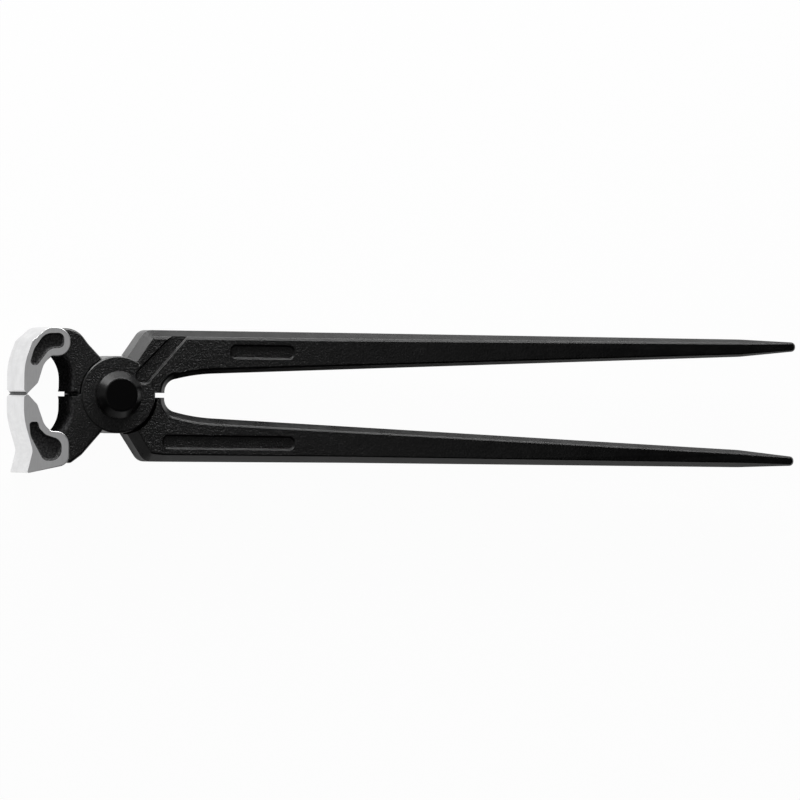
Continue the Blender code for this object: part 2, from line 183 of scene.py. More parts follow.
# Gives the shader a roughness that the noise moves between the two values.
def mottle(material, shader, noise, least, most):
    roughness = rescale(material, noise, noiseLow, noiseHigh, least, most)
    material.node_tree.links.new(roughness, shader.inputs["Roughness"])


# Forged, blasted and blackened: a peened grain on the flat faces that fades towards the handle tips
# and off the sides. Its lighter specks in the colour are painted glints of light off the blasted pits,
# and the scale is worn a little lighter along the edges.
forged = {
    "dark": (0.0022, 0.0022, 0.0023), "light": (0.02, 0.02, 0.0205), "specular": 0.48,
    "smoothRoughness": 0.3, "roughnessSpread": 0.04, "blastedRoughness": 0.36,
    "grainPerMetre": (1500, 1500, 1500), "grainDetail": 2.5, "grainRoughness": 0.62, "grainDepth": 0.5,
    "patchesPerMetre": (140, 140, 140), "glintStart": 0.52, "glintEnd": 0.74,
    "wornReach": 0.5, "wornShare": 0.08, "faceStart": 0.93, "faceEnd": 0.995, "sideGrain": 0.08,
    "fadeStart": 0.03, "fadeEnd": 0.2, "tipGrain": 0.22,
}


def forgedSteel():
    steel, shader = newMaterial("blackForgedSteel")
    coordinates = addNode(steel, "ShaderNodeTexCoord", {}).outputs
    facing = addNode(steel, "ShaderNodeSeparateXYZ", {"Vector": coordinates["Normal"]}).outputs["Z"]
    flatness = maths(steel, "ABSOLUTE", facing)
    onFace = rescale(steel, flatness, forged["faceStart"], forged["faceEnd"], forged["sideGrain"], 1)
    along = addNode(steel, "ShaderNodeSeparateXYZ", {"Vector": coordinates["Object"]}).outputs["X"]
    fade = rescale(steel, along, forged["fadeStart"], forged["fadeEnd"], 1, forged["tipGrain"])
    blasted = maths(steel, "MULTIPLY", onFace, fade)
    peening = grain(steel, forged["grainPerMetre"], forged["grainDetail"], forged["grainRoughness"])
    patches = grain(steel, forged["patchesPerMetre"])
    roughen(steel, shader, peening, blasted, forged["grainDepth"])
    worn = edgeShare(steel, forged["wornReach"], forged["wornShare"])
    # lighter specks painted into the colour where the grain rises: painted glints of light off the blasted
    # pits
    paintedPitGlint = rescale(steel, peening, forged["glintStart"], forged["glintEnd"], 0, 1)
    lightness = maths(steel, "MULTIPLY_ADD", paintedPitGlint, blasted, worn, clamp=True)
    tone(steel, shader, lightness, forged["dark"], forged["light"])
    least = forged["smoothRoughness"] - forged["roughnessSpread"]
    most = forged["smoothRoughness"] + forged["roughnessSpread"]
    smooth = rescale(steel, patches, noiseLow, noiseHigh, least, most)
    rougher = forged["blastedRoughness"] - forged["smoothRoughness"]
    roughness = maths(steel, "MULTIPLY_ADD", blasted, rougher, smooth)
    steel.node_tree.links.new(roughness, shader.inputs["Roughness"])
    shader.inputs["Specular IOR Level"].default_value = forged["specular"]
    return steel


# Ground bright: fine lines that run up the jaw, mixed with softer clouds.
ground = {
    "dark": (0.7, 0.7, 0.705), "light": (0.83, 0.83, 0.835), "roughness": 0.34, "roughnessSpread": 0.06,
    "linesPerMetre": (3000, 190, 190), "lineRoughness": 0.6, "lineShare": 0.7, "lineStrength": 0.6,
    "lineDepth": 0.012, "cloudsPerMetre": (170, 170, 170), "toneStart": 0.6, "toneEnd": 1.1,
}


def groundBright():
    steel, shader = newMaterial("groundSteel")
    lines = grain(steel, ground["linesPerMetre"], roughness=ground["lineRoughness"])
    clouds = grain(steel, ground["cloudsPerMetre"])
    mixed = maths(steel, "MULTIPLY_ADD", lines, ground["lineShare"], clouds)
    share = rescale(steel, mixed, ground["toneStart"], ground["toneEnd"], 0, 1)
    tone(steel, shader, share, ground["dark"], ground["light"])
    least = ground["roughness"] - ground["roughnessSpread"]
    most = ground["roughness"] + ground["roughnessSpread"]
    mottle(steel, shader, clouds, least, most)
    roughen(steel, shader, lines, ground["lineStrength"], ground["lineDepth"])
    shader.inputs["Metallic"].default_value = 1
    return steel


# Left as forged in the panels, the mouth and the slots: matt, coarse and nearly black. The mouth and slot
# copy is darker than the panels' as painted shade in those narrow gaps.
asForged = {
    "panelDark": (0.035, 0.035, 0.0355), "panelLight": (0.12, 0.12, 0.122),
    "mouthShadeDark": (0.02, 0.02, 0.0205), "mouthShadeLight": (0.08, 0.08, 0.082),
    "scalePerMetre": (1300, 1300, 1300), "scaleRoughness": 0.6, "scaleStrength": 0.7, "scaleDepth": 0.2,
    "toneStart": 0.42, "toneEnd": 0.72, "leastRoughness": 0.55, "mostRoughness": 0.7,
}


def asForgedSteel(name, dark, light):
    steel, shader = newMaterial(name)
    scale = grain(steel, asForged["scalePerMetre"], roughness=asForged["scaleRoughness"])
    share = rescale(steel, scale, asForged["toneStart"], asForged["toneEnd"], 0, 1)
    tone(steel, shader, share, dark, light)
    roughen(steel, shader, scale, asForged["scaleStrength"], asForged["scaleDepth"])
    mottle(steel, shader, scale, asForged["leastRoughness"], asForged["mostRoughness"])
    shader.inputs["Specular IOR Level"].default_value = 0
    return steel


# The bevels of the cutting edges, dark in colour: painted shade of the narrow V between the two jaws' bevels.
bevelShade = {
    "dark": (0.04, 0.04, 0.041), "light": (0.09, 0.09, 0.092), "tintPerMetre": (300, 300, 1200),
    "toneStart": 0.35, "toneEnd": 0.65, "leastRoughness": 0.4, "mostRoughness": 0.5,
}


def bevelShadeSteel():
    steel, shader = newMaterial("bevelPaintedShade")
    tint = grain(steel, bevelShade["tintPerMetre"])
    share = rescale(steel, tint, bevelShade["toneStart"], bevelShade["toneEnd"], 0, 1)
    tone(steel, shader, share, bevelShade["dark"], bevelShade["light"])
    mottle(steel, shader, tint, bevelShade["leastRoughness"], bevelShade["mostRoughness"])
    shader.inputs["Metallic"].default_value = 1
    return steel


# Turned and blackened: rings as fine as the tool's feed, worn a little along the rim; the flat ends
# shine less than the skirt.
turned = {
    "dark": (0.0013, 0.0013, 0.0014), "light": (0.012, 0.012, 0.0125), "skirtSpecular": 0.36,
    "endSpecular": 0.07, "feedPerMetre": 3000, "feedDetail": 2, "ringStrength": 0.5, "ringDepth": 0.004,
    "rimReach": 0.3, "rimShare": 0.6, "hazePerMetre": (260, 260, 260), "leastRoughness": 0.26,
    "mostRoughness": 0.34,
}


def turnedSteel(name, specular):
    steel, shader = newMaterial(name)
    place = addNode(steel, "ShaderNodeTexCoord", {}).outputs["Object"]
    flat = addNode(steel, "ShaderNodeVectorMath", {0: place, 1: (1, 1, 0)}, operation="MULTIPLY")
    reach = addNode(steel, "ShaderNodeVectorMath", {0: flat.outputs["Vector"]}, operation="LENGTH")
    feed = maths(steel, "MULTIPLY", reach.outputs["Value"], turned["feedPerMetre"])
    inputs = {"W": feed, "Scale": 1, "Detail": turned["feedDetail"]}
    rings = addNode(steel, "ShaderNodeTexNoise", inputs, noise_dimensions="1D")
    roughen(steel, shader, rings.outputs["Fac"], turned["ringStrength"], turned["ringDepth"])
    haze = grain(steel, turned["hazePerMetre"])
    rim = edgeShare(steel, turned["rimReach"], turned["rimShare"])
    tone(steel, shader, rim, turned["dark"], turned["light"])
    mottle(steel, shader, haze, turned["leastRoughness"], turned["mostRoughness"])
    shader.inputs["Specular IOR Level"].default_value = specular
    return steel


# in the order of the finishes' numbers
armFinishes = (
    forgedSteel(),
    groundBright(),
    asForgedSteel("panelSteel", asForged["panelDark"], asForged["panelLight"]),
    bevelShadeSteel(),
    # the mouth and slot copy, darker than the panels' as painted shade
    asForgedSteel("mouthSteelShaded", asForged["mouthShadeDark"], asForged["mouthShadeLight"]),
)
rivetFinishes = (
    turnedSteel("rivetSkirt", turned["skirtSpecular"]),
    turnedSteel("rivetEnd", turned["endSpecular"]),
)
print("finishes ready")


# Solids

# Rings are a grid (level, place round the ring, xyz). The sides join each ring to the next, and each
# end is closed by one flat face, or by strips straight across a long ring that bends lengthways.
def ringSolid(name, rings, ends="flat", finishes=None):
    levels, count = rings.shape[:2]
    place = np.arange(count)
    level = np.arange(levels - 1)[:, None] * count
    here, following = level + place, level + (place + 1) % count
    sides = np.stack([here, following, following + count, here + count], axis=2)
    faces = sides.reshape(-1, 4).tolist()
    top = (levels - 1) * count
    if ends == "flat":
        faces += [place[::-1].tolist(), (top + place).tolist()]
        endCount = 2
    else:
        near = np.arange(count // 2 - 1)
        far = count - 1 - near
        faces += np.column_stack([near + 1, near, far, far - 1]).tolist()
        faces += (top + np.column_stack([near, near + 1, far - 1, far])).tolist()
        endCount = 2 * len(near)
    mesh = bpy.data.meshes.new(name)
    mesh.from_pydata((rings.reshape(-1, 3) * millimetre).tolist(), [], faces)
    for material in armFinishes:
        mesh.materials.append(material)
    if finishes is not None:
        numbers = np.append(finishes.ravel(), [finishes[0, 0]] * endCount)
        mesh.polygons.foreach_set("material_index", numbers)
    work = bmesh.new()
    work.from_mesh(mesh)
    bmesh.ops.recalc_face_normals(work, faces=work.faces)
    work.to_mesh(mesh)
    work.free()
    solid = bpy.data.objects.new(name, mesh)
    bpy.context.scene.collection.objects.link(solid)
    return solid


# A plate on both sides of z = 0: the outline moved inwards by the profile's first value times the
# point's width, at the half thickness there less the profile's second value times that width. Where
# the share isn't 0, the profile turns into the second one by that share.
def plateRings(points, profile, halfThickness, second=None, share=0):
    steps = inwardSteps(points)
    inward, below = profile[:, 0][:, None], profile[:, 1][:, None]
    if second is not None:
        inward = inward + (second[:, 0][:, None] - inward) * share
        below = below + (second[:, 1][:, None] - below) * share
    inward, below = inward * points[:, 2], below * points[:, 2]
    x = points[:, 0] + steps[:, 0] * inward
    y = points[:, 1] + steps[:, 1] * inward
    upper = np.stack([x, y, halfThickness(x) - below], axis=2)
    return np.concatenate([(upper * (1, 1, -1))[::-1], upper])


# A cutter sunk into a face: rows of (distance outwards, height above the face).
def cutterRings(points, profile, faceHeight):
    steps = inwardSteps(points)
    x = points[:, 0] - steps[:, 0] * profile[:, 0][:, None]
    y = points[:, 1] - steps[:, 1] * profile[:, 0][:, None]
    return np.stack([x, y, faceHeight(x) + profile[:, 1][:, None]], axis=2)


# A turned solid: rows of (radius, height) carried round Z.
def turnedRings(profile, segments):
    angle = np.linspace(0, 2 * np.pi, segments, endpoint=False)
    radius, height = profile[:, 0][:, None], profile[:, 1][:, None]
    return np.stack([radius * np.cos(angle), radius * np.sin(angle), height + 0 * angle], axis=2)


# An open line through corners (a, b, radius), without the widths that an outline has.
def easedProfile(corners, steps=None):
    return roundCorners([(a, b, radius, 0) for a, b, radius in corners], closed=False, steps=steps)[:, :2]


# The section of a cutter for a sunken field: its floor's fillet, the sloping wall and the eased rim,
# then straight up to the height above the face.
def sunkenProfile(depth, wall, fillet, rim, above):
    profile = easedProfile([
        (-wall - 3 * fillet, -depth, 0), (-wall, -depth, fillet), (0, 0, rim), (3, 0, 0)])
    profile = profile[(profile[:, 0] >= -wall - fillet) & (profile[:, 0] <= rim)]
    return np.vstack([profile, (profile[-1, 0], above)])


# Joins solids to the base or cuts them out of it, and keeps the outcome as the base's own mesh.
def combine(base, others, operation):
    for other in others:
        step = base.modifiers.new(other.name, "BOOLEAN")
        step.object = other
        step.operation = operation
        step.solver = "EXACT"
    bpy.context.view_layer.update()
    outcome = bpy.data.meshes.new_from_object(base.evaluated_get(bpy.context.evaluated_depsgraph_get()))
    base.modifiers.clear()
    base.data = outcome
    for other in others:
        bpy.data.objects.remove(other)
    return base


# Jaws: corners of the side view as (x, y, radius), from the cutting edge up the outside, over the
# ring and back down the inside of the mouth
plainJaw = {
    "outside": [
        (-35.5, 0.01, 0), (-36.75, 1.3, 0), (-36.8, 11, 24), (-33.8, 19.4, 2.8),
        (-28.2, 24.2, 6), (-19.1, 25.6, 5.6),
    ],
    "inside": [
        (-19.1, 13.9, 4.9), (-26.2, 14.0, 2.6), (-29.2, 11.4, 6), (-31.5, 4, 2.5),
    ],
    "panel": [
        (-34.6, 10.7, 1.2), (-33.0, 16.4, 7), (-29.0, 22.2, 5), (-21.9, 22.4, 2.0),
        (-21.9, 17.3, 1.8), (-27.3, 16.9, 4.5), (-31.9, 10.8, 1.0),
    ],
    "web": [(-26.3, 22.9, 0), (-16.9, 25.5, 8.5), (-11.3, 18.5, 12), (-6.3, 13.4, 0)],
}
hammerJaw = {
    "outside": [
        (-35.5, 0.01, 0), (-36.75, 1.3, 0), (-36.8, 9, 28), (-33.1, 21.0, 4.5),
        (-35.2, 29.5, 0.5), (-19.1, 26.1, 4.2),
    ],
    "inside": [
        (-19.1, 13.9, 5.1), (-26.3, 13.7, 2.4), (-28.8, 11.5, 6), (-31.6, 4, 2.5),
    ],
    "panel": [
        (-34.4, 10.7, 1.0), (-33.9, 15.6, 6), (-28.8, 24.5, 2.5), (-22.3, 24.5, 3.9),
        (-22.3, 17.2, 3.4), (-28.4, 15.3, 3), (-30.9, 12.9, 2), (-31.5, 10.6, 0.8),
    ],
    "web": [(-26.3, 22.9, 0), (-17.9, 25.75, 1.8), (-13.4, 22.4, 4), (-8.8, 17.1, 10), (-6.15, 14.1, 0)],
}
jawBlock = {
    "width": 24,
    "edgeRounding": 0.4,
    "crispShare": 0.25,
    "panelDepth": 1.7,
    "panelWall": 0.55,
    "panelRim": 0.35,
    "panelFillet": 0.4,
    "mouthLine": [(0, -34.0), (4, -33.2), (12, -31), (24.6, -19.5)],  # (y, x) between outside and mouth
    "blackStart": 3.6,
    "blackEnd": 24.6,
    "bevelX": -35.6,
    "bevelEnd": 1.1,
}


# The jaw's plate between its two flat sides, with an eased edge that is narrower by crispShare where
# the outline is ground.
def jawSolid(name, shape):
    half = jawBlock["width"] / 2
    rounding = jawBlock["edgeRounding"]
    crisp = jawBlock["crispShare"]
    corners = [(x, y, radius, crisp) for x, y, radius in shape["outside"][:-1]]
    corners += [(*shape["outside"][-1], 1)]
    corners += [(x, y, radius, 1) for x, y, radius in shape["inside"][:2]]
    corners += [(x, y, radius, crisp) for x, y, radius in shape["inside"][2:]]
    points = leftTurning(withStations(roundCorners(corners), outlineSpacing))
    ease = easedProfile([(0, half, 0), (0, 0, rounding), (1, 0, 0)])
    profile = ease[ease[:, 0] <= rounding + 1e-6]
    rings = plateRings(points, profile, lambda x: half + 0 * x)
    # ground bright outside and by the edge, left black in the mouth and on the ring's hub side
    height = points[:, 1]
    mouthSide = points[:, 0] > np.interp(height, *zip(*jawBlock["mouthLine"]))
    black = mouthSide & (height > jawBlock["blackStart"]) & (height < jawBlock["blackEnd"])
    # the cutting bevels take the dark bevel finish, painted shade of the V between the jaws
    bevel = (points[:, 0] < jawBlock["bevelX"]) & (height < jawBlock["bevelEnd"])
    walls = np.full((len(rings) - 1, len(points)), brightFinish)
    middle = len(rings) // 2
    walls[middle - 2:middle + 1] = np.where(black, panelFinish, np.where(bevel, bevelFinish, brightFinish))
    return ringSolid(name, rings, finishes=walls)


# The cutter of a sunken panel, on the jaw's upper side for 1 and mirrored to its lower side for -1.
def panelCutter(name, shape, side):
    profile = sunkenProfile(
        jawBlock["panelDepth"], jawBlock["panelWall"], jawBlock["panelFillet"], jawBlock["panelRim"], 1)
    points = leftTurning(roundCorners([(x, y, radius, 1) for x, y, radius in shape["panel"]]))
    rings = cutterRings(points, profile, lambda x: jawBlock["width"] / 2 + 0 * x)
    finishes = np.full((len(rings) - 1, len(points)), panelFinish)
    return ringSolid(name, rings * (1, 1, side), finishes=finishes)


# Webs between jaw and hub
web = {
    "halfThickness": 9.5,
    "edgeRounding": 1.3,
    "roundingPoints": 9,
    "mouthX": -17.95,
    "mouthFoot": 2.2,
    "mouthHead": 13.9,
    "mouthRadius": 12.5,
    "slot": 0.85,
    "slotEnd": -15.5,
    "slotWidth": 0.3,
    "hubEnd": (-4.8, 0.02),
    "hubCorner": (-3.0, 9.4),
    "jawCorner": (-26.3, 17),
    "blackSlot": 1,
    "blackMouthX": -17,
    "blackMouthEnd": 16.5,
}


# The web's plate with its long edges rounded by a quarter circle, narrower along the slot.
def webSolid(shape):
    mouthX, half, slot, slotEnd = web["mouthX"], web["halfThickness"], web["slot"], web["slotEnd"]
    narrow = web["slotWidth"]
    corners = [
        (*web["hubEnd"], 0, narrow), (slotEnd, web["hubEnd"][1], 0, narrow), (slotEnd, slot, 0, narrow),
        (mouthX, slot, 0, narrow), (mouthX, web["mouthFoot"], 0, 1),
        (mouthX, web["mouthHead"], web["mouthRadius"], 1), (*web["jawCorner"], 0, 1),
        *[(x, y, radius, 1) for x, y, radius in shape["web"]], (*web["hubCorner"], 0, 1),
    ]
    points = leftTurning(withStations(roundCorners(corners), outlineSpacing))
    angle = np.linspace(0, np.pi / 2, web["roundingPoints"])
    profile = web["edgeRounding"] * np.column_stack([1 - np.cos(angle), 1 - np.sin(angle)])
    rings = plateRings(points, profile, lambda x: half + 0 * x)
    # left as forged in the mouth and along the slot, in the darker copy that paints shade there
    height = points[:, 1]
    inMouth = (points[:, 0] < web["blackMouthX"]) & (height < web["blackMouthEnd"])
    unblastedShaded = (height < web["blackSlot"]) | inMouth
    walls = np.broadcast_to(np.where(unblastedShaded, mouthShadeFinish, blackFinish), (len(rings) - 1, len(points)))
    return ringSolid("web", rings, finishes=walls)


# Handles: the bar thins as (1 - x / reach) to the power of thinning
handle = {
    "reach": 263.4,
    "rootThickness": 18.4,
    "tipThickness": 8,
    "thinning": 1.6,
    "stations": 40,
    "arcSteps": 16,
    "middleX": 90,
    "middleY": -24.1,
    "middleShare": 0.93,
    "tipX": 242,
    "tipOuterY": -23.8,
    "tipInnerY": -17.35,
    "tipWidth": 0.7,
    "innerTipShare": 0.62,
    "shoulderWidth": 3.4,
    "shoulderSteep": 0.93,
    "shoulderEnd": 13.5,
    "shoulderFade": 2.5,
    "shoulderY": -6,
    "outerY": -19.3,
    "slotY": -0.87,
}
# Each handle's edges: the facets' width, and the share of it that the steep facet takes
edges = {
    "rear": {
        "rootY": 24.6, "outer": 2.95, "outerTip": 2.0, "outerSteep": 0.84,
        "inner": 2.7, "innerSteep": 0.74, "bend": 2.8,
    },
    "front": {
        "rootY": 24.1, "outer": 3.45, "outerTip": 1.9, "outerSteep": 0.68,
        "inner": 2.1, "innerSteep": 0.68, "bend": 2.7,
    },
}
# The facets' section for a width of 1: how far each one drops, and the roundings between them
facet = {
    "flatDrop": 0.57, "steepDrop": 1.28, "footRounding": 0.09, "ridgeRounding": 0.12, "faceRounding": 0.08,
    "faceEnd": 1.3, "arcSteps": 6, "narrow": 0.6, "wide": 0.95,
}


# Half the bar's thickness at x.
def handleHalf(x):
    left = np.clip(1 - x / handle["reach"], 0, None)
    root, tip = handle["rootThickness"], handle["tipThickness"]
    return (tip + (root - tip) * left ** handle["thinning"]) / 2


# Points (x, y, 0, width) spaced evenly between the two ends, which aren't among them.
def alongEdge(start, end):
    share = np.linspace(0, 1, handle["stations"] + 2)[1:-1, None]
    rows = np.array(start) + (np.array(end) - np.array(start)) * share
    return [(x, y, 0, width) for x, y, width in rows]


# The handle's edge in section, from the wall up a steep facet and a flat one to the face.
def facetProfile(steep):
    flatDrop = facet["flatDrop"] * (1 - steep)
    wall = facet["steepDrop"] * steep + flatDrop
    foot = (0, wall, facet["footRounding"])
    ridge = (steep, flatDrop, facet["ridgeRounding"])
    corners = [foot, foot, ridge, (1, 0, facet["faceRounding"]), (facet["faceEnd"], 0, 0)]
    return easedProfile(corners, steps=facet["arcSteps"])[2:-1]


# A box over the other arm's side of the slot between the handles, which is cut off this one's root.
def slotSide():
    startX, endX, farY, halfHeight = -20, 40, 15, 30
    nearY = handle["slotY"]
    corners = np.array([(startX, nearY), (endX, nearY), (endX, farY), (startX, farY)], float)
    levels = np.array([-halfHeight, halfHeight], float)
    rings = np.concatenate([
        np.broadcast_to(corners, (2, 4, 2)), np.broadcast_to(levels[:, None, None], (2, 4, 1))], axis=2)
    return ringSolid("slotSide", rings)


# The bar: an outline from the shoulder along the outside to the tip and back along the inside, with
# the facets' section carried round it, steeper outside and steepest on the shoulder.
def handleSolid(side):
    edge = edges[side]
    outer, inner, bend, rootY = edge["outer"], edge["inner"], edge["bend"], edge["rootY"]
    tip, innerTip = edge["outerTip"], inner * handle["innerTipShare"]
    reach, tipX, shoulder = handle["reach"], handle["tipX"], handle["shoulderWidth"]
    outerEnd, innerEnd, tipWidth = handle["tipOuterY"], handle["tipInnerY"], handle["tipWidth"]
    middle = (handle["middleX"], handle["middleY"], outer * handle["middleShare"])
    corners = [
        (-0.4, -6.98, 0, shoulder), (2.1, -10.3, 0, shoulder), (11.6, -rootY, 4.6, shoulder),
        *alongEdge((16.2, -rootY, outer), middle),
        *alongEdge(middle, (tipX, outerEnd, tip)),
        (tipX, outerEnd, 40, tip), (reach, -22.95, 1.65, tipWidth), (reach, -19.65, 1.65, tipWidth),
        (tipX, innerEnd, 30, innerTip),
        *alongEdge((40, -8.4, inner), (tipX, innerEnd, innerTip))[::-1],
        (30.3, -7.96, 70, inner), (18.8, -5.08, 5, bend), (18.8, 5.4, 0, bend), (0, 5.4, 0, bend),
    ]
    points = leftTurning(roundCorners(corners, steps=handle["arcSteps"]))
    outerShare = np.clip(handle["outerY"] - points[:, 1], 0, 1)
    fromEnd = (handle["shoulderEnd"] - points[:, 0]) / handle["shoulderFade"]
    onShoulder = np.clip(fromEnd, 0, 1) * (points[:, 1] < handle["shoulderY"])
    steep = edge["innerSteep"] + (edge["outerSteep"] - edge["innerSteep"]) * outerShare
    steep = steep + (handle["shoulderSteep"] - steep) * onShoulder
    share = (steep - facet["narrow"]) / (facet["wide"] - facet["narrow"])
    narrow, wide = facetProfile(facet["narrow"]), facetProfile(facet["wide"])
    rings = plateRings(points, narrow, handleHalf, wide, share)
    return combine(ringSolid("handle", rings, ends="strips"), [slotSide()], "DIFFERENCE")


# Hub halves, and the room in each arm for the other's half
hub = {
    "radius": 14.3,
    "landRadius": 13.8,
    "landRounding": 0.6,
    "rimDepth": 0.5,
    "rimRounding": 0.3,
    "core": 0.5,
    "gap": 0.15,
    "hole": 5.7,
    "segments": 240,
    "holeSegments": 96,
    "room": 15.0,
    "roomX": 0.4,
    "roomY": -0.3,
    "roomHeight": 9.5,
    "roomRounding": 0.3,
    "roomOverlap": 0.02,
}


# The arm's own half, from its eased outer face to the gap under the middle plane.
def hubSolid():
    face = -middleZ
    profile = easedProfile([
        (hub["core"], face, 0), (hub["landRadius"], face, hub["landRounding"]),
        (hub["radius"], face + hub["rimDepth"], hub["rimRounding"]), (hub["radius"], -hub["gap"], 0)])
    return ringSolid("hub", turnedRings(profile, hub["segments"]))


# The cutter that makes room for the other half: straight walls that widen by the rounding at the top.
def hubRoom():
    radius, top, rounding = hub["room"], hub["roomHeight"], hub["roomRounding"]
    floorZ = -hub["gap"] - hub["roomOverlap"]
    profile = easedProfile([(radius, floorZ, 0), (radius, top, rounding), (radius + 1, top, 0)])
    profile = profile[profile[:, 0] < radius + rounding + 0.01]
    profile = np.vstack([profile, (profile[-1, 0], cutterReach)])
    return ringSolid("hubRoom", turnedRings(profile, hub["segments"]) + (hub["roomX"], hub["roomY"], 0))


# Sunken bands of the handles, with a filleted floor, sloping sides and an eased rim, each as
# (start x, start y, end x, end y, half width at the start, half width at the end) on the arm as it lies
# in the tool
band = {"depth": 0.8, "wall": 0.55, "rim": 0.3, "fillet": 0.3, "flatEnd": 0.25, "spacing": 2, "above": 1.5}
bands = {
    "rear": [(17.5, -17.15, 69, -17.15, 2.65, 2.65)],
    "front": [(43.3, 16.5, 68.5, 16.5, 2.65, 2.65), (7.8, 4.8, 26.2, 24.5, 3.3, 2.55)],
}


# The cutter of a band: a long field with rounded ends, laid along the line from start to end.
def bandCutter(name, startX, startY, endX, endY, half, farHalf):
    length = math.hypot(endX - startX, endY - startY)
    along = math.atan2(endY - startY, endX - startX)
    end, farEnd = half - band["flatEnd"], farHalf - band["flatEnd"]
    corners = [
        (0, -half, end, 1), (length, -farHalf, farEnd, 1), (length, farHalf, farEnd, 1), (0, half, end, 1)]
    local = withStations(roundCorners(corners), band["spacing"])
    cos, sin = math.cos(along), math.sin(along)
    points = np.column_stack([
        startX + local[:, 0] * cos - local[:, 1] * sin, startY + local[:, 0] * sin + local[:, 1] * cos,
        local[:, 2]])
    profile = sunkenProfile(band["depth"], band["wall"], band["fillet"], band["rim"], band["above"])
    return ringSolid(name, cutterRings(leftTurning(points), profile, handleHalf))


# Joins points that the cuts left all but touching and fills the slits between them.
def weld(mesh):
    work = bmesh.new()
    work.from_mesh(mesh)
    bmesh.ops.remove_doubles(work, verts=work.verts, dist=weldDistance * millimetre)
    slits = [edge for edge in work.edges if len(edge.link_faces) == 1]
    bmesh.ops.holes_fill(work, edges=slits, sides=0)
    work.to_mesh(mesh)
    work.free()


# An arm: jaw, web and handle joined, room cut for the other half of the hub and its own half added,
# then the hole and the panels cut. Its bands are cut once it is turned over.
def armSolid(name, shape, side, turnedOver):
    arm = jawSolid(name, shape)
    combine(arm, [webSolid(shape), handleSolid(side)], "UNION")
    combine(arm, [hubRoom()], "DIFFERENCE")
    combine(arm, [hubSolid()], "UNION")
    hole = np.array([(hub["hole"], -cutterReach), (hub["hole"], cutterReach)], float)
    cutters = [ringSolid("hole", turnedRings(hole, hub["holeSegments"]))]
    cutters += [panelCutter("panel", shape, 1), panelCutter("panel", shape, -1)]
    combine(arm, cutters, "DIFFERENCE")
    if turnedOver:
        arm.data.transform(Matrix.Rotation(math.pi, 4, "X"))
    combine(arm, [bandCutter("band", *ends) for ends in bands[side]], "DIFFERENCE")
    weld(arm.data)
    arm.data.transform(Matrix.Translation((0, 0, middleZ * millimetre)))
    return arm


# Rivet: (radius, height, rounding) from the flat tail up to the head
rivetProfile = [
    (0.4, 0, 0), (7.4, 0, 0.15), (5.4, 2.1, 0), (5.4, 19.8, 0), (8.75, 19.8, 0.1), (8.75, 20.9, 0.25),
    (6.3, 23.85, 0.3), (5.85, 24.1, 0.3), (0.4, 24.1, 0),
]
rivetSegments = 180
flatEndNormal = 0.97  # a face of the rivet that looks more along Z than this is one of its ends
sharpAngle = 35


# Smooth shading that stays sharp over the angle, with normals that follow the larger faces.
def finishSurface(piece):
    piece.data.shade_smooth()
    piece.data.set_sharp_from_angle(angle=math.radians(sharpAngle))
    level = piece.modifiers.new("evenNormals", "WEIGHTED_NORMAL")
    level.keep_sharp = True
    level.weight = 100


rearArm = armSolid("rearArm", plainJaw, "rear", False)
print("rear arm:", len(rearArm.data.polygons), "faces")
frontArm = armSolid("frontArm", hammerJaw, "front", True)
print("front arm:", len(frontArm.data.polygons), "faces")
rivet = ringSolid("rivet", turnedRings(easedProfile(rivetProfile), rivetSegments))
print("rivet:", len(rivet.data.polygons), "faces")
for piece in (rearArm, frontArm, rivet):
    finishSurface(piece)

rivet.data.materials.clear()
for material in rivetFinishes:
    rivet.data.materials.append(material)
flatEnd = np.abs([face.normal.z for face in rivet.data.polygons]) > flatEndNormal
rivet.data.polygons.foreach_set("material_index", flatEnd.astype(int))

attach(rearArm, "fixed_arm")
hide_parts("rear_arm")
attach(frontArm, "swinging_arm")
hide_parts("front_arm")
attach(rivet, "fixed_arm")
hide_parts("rivet")
print("pieces in place")


# Stage

# The floor's height and the camera's lengths are in millimetres and its angles in degrees. The floor's
# other lengths and the camera's clipEnd are in metres, and shadeCentre counts from the floor's middle.
studio = {
    "floorZ": -2.3,
    "floorSize": 4,
    "floorX": 0.1,
    "floorWhite": (0.9, 0.9, 0.9, 1),
    "floorRoughness": 0.9,
    "floorSpecular": 0.1,
    "whiteToCamera": 0.97,
    "whiteToMetal": 1.0,
    "shadeY": -0.16,
    "lightY": -0.05,
    "shadeCentre": (-0.078, -0.012, 0),
    "shadeInner": 0.018,
    "shadeOuter": 0.038,
    "shadeShare": 0.1,
    "cameraTilt": 16.2,
    "cameraRoll": 0.8,
    "cameraDistance": 10000,
    "viewWidth": 297.0,
    "sensorWidth": 36,
    "clipEnd": 20,
    "target": (111.3, -0.5, 9.75),
}

floorPlace = (studio["floorX"], 0, studio["floorZ"] * millimetre)
bpy.ops.mesh.primitive_plane_add(size=studio["floorSize"], location=floorPlace)
floor = bpy.context.object
floor.name = "floor"
floorLook, shader = newMaterial("paleFloor")
shader.inputs["Base Color"].default_value = studio["floorWhite"]
shader.inputs["Roughness"].default_value = studio["floorRoughness"]
shader.inputs["Specular IOR Level"].default_value = studio["floorSpecular"]
glow = addNode(floorLook, "ShaderNodeEmission", {"Color": (1, 1, 1, 1)}).outputs["Emission"]
rays = addNode(floorLook, "ShaderNodeLightPath", {}).outputs
seen = maths(floorLook, "MULTIPLY", rays["Is Camera Ray"], studio["whiteToCamera"])
